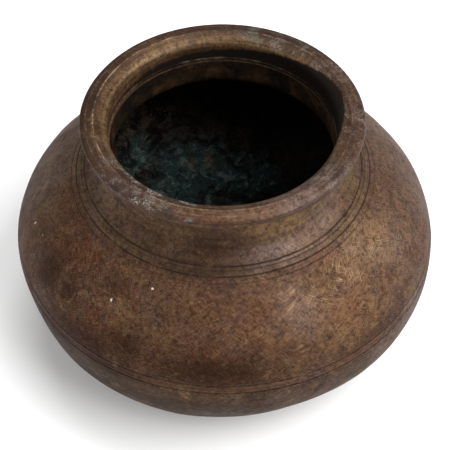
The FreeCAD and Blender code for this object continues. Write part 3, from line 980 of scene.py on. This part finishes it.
def patina(name, main, second, third, gold, turned, gloss_and_painted_sheen, specular, cloud=26):
    """Old handled brass: a mottled oxide skin, rubbed through to tan in places, with grime in the lines, and
    with painted shade and painted highlights in its colour.
    """
    s = Surface(name)
    colour, mottle, grain, flecks = skin(s, main, second, third, cloud)
    colour, dark_patina_and_painted_shade = placed_patches(s, colour, mottle)
    colour = speckle(s, colour, main, mottle, grain, flecks)
    colour, bare, scratch = rubbed_through(s, colour, mottle, flecks, dark_patina_and_painted_shade, gold)
    colour, turning = turning_marks(s, colour, turned)
    colour, pits, crust, grime = dirt(s, colour)
    colour, painted_bore_shade, edge = bore_shade_and_edges(s, colour, flecks)

    metallic = s.plus(0.40, s.times(bare, 0.5))
    metallic = s.math("SUBTRACT", metallic, s.plus(s.times(crust, 0.6), s.times(grime, 0.6)), clamp=True)
    uneven_sheen = s.ramp(s.noise(8, 5, 0.65, offset=9.0), 0.3, 0.7)
    roughness = s.blend(uneven_sheen, 0.58 - 0.18 * gloss_and_painted_sheen, 0.72 - 0.12 * gloss_and_painted_sheen)
    roughness = s.blend(s.math("MAXIMUM", s.times(bare, 0.6), edge), roughness, 0.40)
    roughness = s.blend(s.attribute("bevel"), roughness, 0.38)
    roughness = s.blend(s.math("MAXIMUM", grime, s.math("MAXIMUM", crust, painted_bore_shade)), roughness, 0.85)

    normal = s.bump(s.noise(7, 4, 0.6, offset=10.0), 0.35)
    normal = s.bump(grain, 0.10, normal)
    normal = s.bump(s.math("SUBTRACT", crust, s.plus(pits, s.times(scratch, 0.4))), 0.08, normal)
    normal = s.bump(turning, 0.04 * turned, normal)
    return s.finish(colour, metallic, roughness, normal, specular)


def soot(name, base, tint):
    """Inside of the pot: burnt black and brown, with grey and teal corrosion and pale grains in patches."""
    s = Surface(name)
    clouds = s.noise(16, 7, 0.70, 0.6, offset=7.0)
    smudges = s.noise(8, 6, 0.68, 1.2, offset=7.7)
    streaks = s.noise(3.4, 6, 0.70, 0.8, offset=8.4)
    fine = s.noise(1.6, 6, 0.78, offset=7.3)
    colour = s.mix(s.ramp(clouds, 0.44, 0.60), base, tint)
    ash = s.times(s.attribute("grains"), s.ramp(s.noise(5, 6, 0.7, 0.5, offset=9.2), 0.56, 0.42))
    colour = s.mix(s.times(ash, 0.8), colour, ASH)
    ragged = s.math("MULTIPLY", s.math("SUBTRACT", 0.5, smudges), 2.2)
    stain = s.ramp(s.math("ADD", s.attribute("teal"), ragged), 0.30, 0.90)
    stain = s.times(stain, s.ramp(s.attribute("teal"), 0.02, 0.25))
    colour = s.mix(s.times(stain, 0.9), colour, DEEP_TEAL)
    colour = s.mix(s.times(s.times(stain, s.ramp(streaks, 0.50, 0.38)), 0.75), colour, GREY_TEAL)
    colour = s.mix(s.times(s.ramp(smudges, 0.50, 0.60), 0.8), colour, SOOT)
    colour = s.mix(s.times(s.ramp(fine, 0.50, 0.62), 0.7), colour, SOOT)
    copper = s.times(s.attribute("copper"), s.ramp(s.noise(2, 4, 0.7, offset=8.0), 0.58, 0.44))
    colour = s.mix(s.times(copper, 0.9), colour, COPPER)
    grains = s.times(s.ramp(s.cells(1.7), 0.24, 0.10), s.ramp(s.noise(6, 4, offset=8.6), 0.46, 0.60))
    colour = s.mix(s.times(grains, s.plus(s.times(s.attribute("grains"), 0.85), 0.05)), colour, DUST)
    normal = s.bump(s.noise(3, 5, 0.7, offset=11.0), 0.6)
    normal = s.bump(grains, 0.15, normal)
    roughness = s.blend(clouds, 0.55, 0.85)
    return s.finish(colour, 0.0, roughness, normal, specular=0.10)


# Each patina also holds the painted shade and highlights of the patches, and the painted shade in the bore.
OUTSIDE_MATERIALS = {
    "lip": patina("lip patina", BROWN, PLUM, RED_BROWN,
                  gold=0.7, turned=0.9, gloss_and_painted_sheen=0.8, specular=0.20, cloud=14),
    "neck": patina("neck patina", BROWN, PLUM, OLIVE,
                   gold=0.4, turned=0.5, gloss_and_painted_sheen=0.9, specular=0.18, cloud=20),
    "shoulder": patina("shoulder patina", BROWN, RED_BROWN, PLUM,
                       gold=0.5, turned=0.1, gloss_and_painted_sheen=0.45, specular=0.10),
    # The bowl's darker browns paint shade on the lower body.
    "bowl": patina("bowl patina and painted shade", PAINTED_SHADE_BROWN, PAINTED_SHADE_PLUM, DARK_BROWN,
                   gold=0.25, turned=0.15, gloss_and_painted_sheen=0.35, specular=0.07),
    "braze": patina("braze patina", OLIVE, BROWN, SLATE,
                    gold=0.3, turned=0.1, gloss_and_painted_sheen=0.1, specular=0.10, cloud=8),
}
NECK_INSIDE = soot("neck inside", (0.012, 0.006, 0.002), (0.038, 0.018, 0.007))
BODY_INSIDE = soot("body inside", SOOT, (0.016, 0.011, 0.008))

# ---------------------------------------------------------------- pieces
PIECES = [
    ("lip_ring", "rim_ring", "lip_brass", "lip", lip_section, TURNS_LIP),
    ("flared_neck", "neck_collar", "neck_brass", "neck", collar_section, TURNS_LIP),
    ("round_shoulder", "belly_shell", "shoulder_brass", "shoulder", belly_section, TURNS_BODY),
    ("round_bowl", "base_bowl", "bowl_brass", "bowl", bowl_section, TURNS_BODY),
    ("braze_under_lip", "rim_seam_braze", "braze", "braze", rim_braze_section, TURNS_LIP),
    ("braze_in_neck", "shoulder_seam_braze", "braze", "braze", shoulder_braze_section, TURNS_LIP),
    ("braze_in_belly", "belly_seam_braze", "braze", "braze", belly_braze_section, TURNS_BODY),
]
for name, node, slot, material, section, turns in PIECES:
    piece = turn(name, section(), turns, poles=section is bowl_section)
    piece.data.materials.append(OUTSIDE_MATERIALS[material])
    piece.data.materials.append(NECK_INSIDE if material == "neck" else BODY_INSIDE)
    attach(piece, "root")
    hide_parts(node)

# ---------------------------------------------------------------- floor, light and camera
bpy.ops.mesh.primitive_plane_add(size=8, location=(0, 0, 0))
floor = bpy.context.object
floor.name = "floor"
paper = bpy.data.materials.new("paper")
paper.use_nodes = True
paper.node_tree.nodes["Principled BSDF"].inputs["Base Color"].default_value = (0.93, 0.93, 0.93, 1)
paper.node_tree.nodes["Principled BSDF"].inputs["Roughness"].default_value = 0.9
floor.data.materials.append(paper)


def lamp(name, place, target, power, size):
    light = bpy.data.lights.new(name, "AREA")
    light.energy = power
    light.size = size
    piece = bpy.data.objects.new(name, light)
    piece.location = place
    piece.rotation_euler = (Vector(target) - Vector(place)).to_track_quat("-Z", "Y").to_euler()
    bpy.context.scene.collection.objects.link(piece)


MIDDLE = (0, 0, GIRTH)
lamp("key", (0.80, -0.34, 0.95), MIDDLE, 26, 1.2)
lamp("fill", (-0.9, -0.5, 0.8), MIDDLE, 4.5, 0.9)
lamp("top", (-0.05, 0.25, 1.2), MIDDLE, 5, 0.5)

world = bpy.data.worlds.new("studio")
world.use_nodes = True
world.node_tree.nodes["Background"].inputs["Color"].default_value = (1, 1, 1, 1)
world.node_tree.nodes["Background"].inputs["Strength"].default_value = 0.38
bpy.context.scene.world = world
bpy.context.scene.view_settings.view_transform = "Standard"

CAMERA_HEIGHT = 48.64     # degrees above level
CAMERA_DISTANCE = 0.684
CAMERA_ROLL = -0.78       # degrees
LOOK_AT = Vector((0.0007, 0, 0.0638))
rise = math.radians(CAMERA_HEIGHT)
back = Vector((0, -math.cos(rise), math.sin(rise)))
camera_data = bpy.data.cameras.new("camera")
camera_data.sensor_width = 36
camera_data.lens = 93.4
camera = bpy.data.objects.new("camera", camera_data)
camera.location = LOOK_AT + back * CAMERA_DISTANCE
roll = Matrix.Rotation(math.radians(CAMERA_ROLL), 3, "Z")
aim = (-back).to_track_quat("-Z", "Y").to_matrix()
camera.rotation_euler = (aim @ roll).to_euler()
bpy.context.scene.collection.objects.link(camera)
bpy.context.scene.camera = camera
